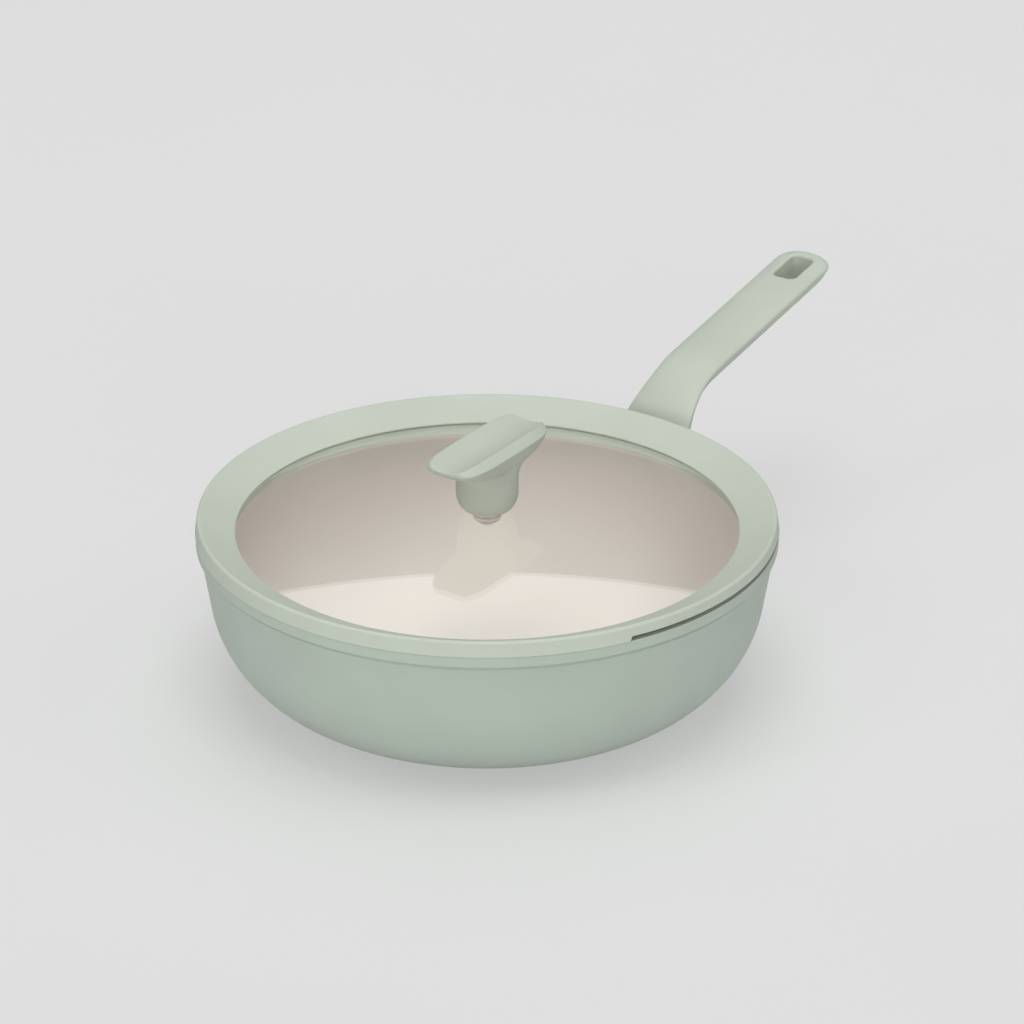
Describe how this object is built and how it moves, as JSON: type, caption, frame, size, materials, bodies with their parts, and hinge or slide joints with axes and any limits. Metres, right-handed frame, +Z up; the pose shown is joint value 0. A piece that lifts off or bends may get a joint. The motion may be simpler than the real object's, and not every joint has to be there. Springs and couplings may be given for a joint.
{
  "type": "wok with lid",
  "caption": "Round-bottomed wok pan with a long gooseneck handle and a domed glass lid in a silicone rim with a winged knob.",
  "frame": {"origin": "centre of the base disc, on the plane that stands on the hob", "axes": "+Z up, +X along the handle from the pan's axis to the handle's tip, +Y square to both"},
  "size_m": [0.4499, 0.2883, 0.1327],
  "materials": {
    "pan_paint": "matt sage paint outside, cream ceramic coating inside",
    "steel": "brushed",
    "soft_touch": "soft-touch sage coating",
    "aluminium": "as welded",
    "glass": "clear tempered glass",
    "silicone": "matt sage silicone",
    "seal": "matt pale silicone",
    "brass": "turned"
  },
  "bodies": {
    "pan": {"pan_body": "pan_paint", "base_disc": "steel", "handle_bracket": "steel", "handle_grip": "soft_touch", "weld_stud_left": "aluminium", "weld_stud_right": "aluminium", "handle_lock_washer": "steel", "handle_screw": "steel"},
    "lid": {"lid_glass": "glass", "lid_rim": "silicone", "knob": "soft_touch", "knob_insert": "brass", "knob_gasket": "seal", "lid_grommet": "seal", "lid_washer": "steel", "lid_screw": "steel"}
  },
  "joints": [
    {"name": "lid_lift", "type": "slide", "parent": "pan", "child": "lid", "axis": [0, 0, 1], "range_m": [0, 0.15]}
  ]
}
